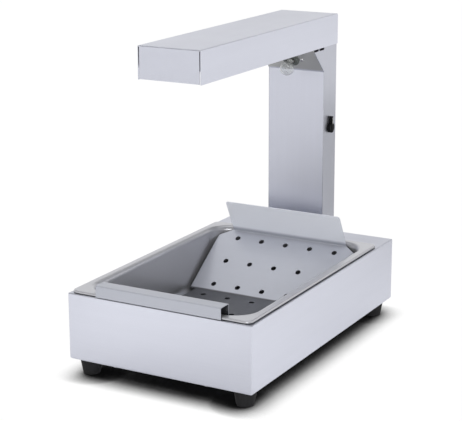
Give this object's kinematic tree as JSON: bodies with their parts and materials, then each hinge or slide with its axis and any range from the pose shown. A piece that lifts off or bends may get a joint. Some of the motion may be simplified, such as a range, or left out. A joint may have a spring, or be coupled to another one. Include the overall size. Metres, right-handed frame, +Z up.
{
  "type": "fry warmer",
  "caption": "Tabletop fry warmer: lift-out pan with a perforated drain insert in a steel base, below an overhead heater head with a lamp on a rear column.",
  "frame": {"origin": "on the table, below the middle of the base's outline", "axes": "+Z up, the front with the insert's hook faces -Y, +X to the right as seen from the front"},
  "size_m": [0.345, 0.55, 0.555],
  "materials": {
    "stainless": "satin",
    "pan_steel": "satin",
    "insert_steel": "satin",
    "foot_rubber": "matte",
    "fastener_steel": "satin",
    "bright_aluminium": "polished",
    "element_sheath": "oxidised",
    "bracket_steel": "satin",
    "ceramic": "matte",
    "lamp_ring_grey": "matte",
    "bulb_glass": "clear",
    "cap_nickel": "plated",
    "brass": "plain",
    "switch_body": "matte",
    "shaft_steel": "turned",
    "knob_black": "satin",
    "gland_black": "matte",
    "terminal_white": "matte",
    "lead_insulation": "matte"
  },
  "bodies": {
    "base": {"base_floor": "stainless", "base_front_panel": "stainless", "base_left_panel": "stainless", "base_rear_panel": "stainless", "base_right_panel": "stainless", "cable_gland": "gland_black", "column_bolts": "fastener_steel", "column_foot_plate": "stainless", "column_front_panel": "stainless", "column_left_panel": "stainless", "column_nuts": "fastener_steel", "column_rear_cover": "stainless", "column_right_panel": "stainless", "earth_stud": "brass", "element_bracket_front": "bracket_steel", "element_bracket_rear": "bracket_steel", "element_bushes": "ceramic", "element_leads": "lead_insulation", "floor_screws": "fastener_steel", "foot_front_left": "foot_rubber", "foot_front_right": "foot_rubber", "foot_nuts": "fastener_steel", "foot_rear_left": "foot_rubber", "foot_rear_right": "foot_rubber", "foot_screws": "fastener_steel", "gland_locknut": "gland_black", "head_bulkhead": "stainless", "head_screws": "fastener_steel", "head_shell": "stainless", "heating_element": "element_sheath", "lamp_bulb": "bulb_glass", "lamp_cap": "cap_nickel", "lamp_holder": "ceramic", "lamp_leads": "lead_insulation", "lamp_ring": "lamp_ring_grey", "lamp_screws": "fastener_steel", "rear_cover_screws": "fastener_steel", "reflector": "bright_aluminium", "rotary_switch": "switch_body", "switch_lead": "lead_insulation", "switch_nut": "fastener_steel", "terminal_block": "terminal_white"},
    "pan": {"fry_pan": "pan_steel"},
    "insert": {"drain_insert": "insert_steel"},
    "knob": {"switch_knob": "knob_black", "switch_shaft": "shaft_steel"}
  },
  "joints": [
    {"name": "pan_lift", "type": "slide", "parent": "base", "child": "pan", "axis": [0, 0, 1], "range_m": [0, 0.11]},
    {"name": "insert_lift", "type": "slide", "parent": "pan", "child": "insert", "axis": [0, 0, 1], "range_m": [0, 0.11]},
    {"name": "knob_turn", "type": "hinge", "parent": "base", "child": "knob", "pos_m": [0.0562, 0.24025, 0.349], "axis": [1, 0, 0], "range_deg": [0, 90]}
  ]
}
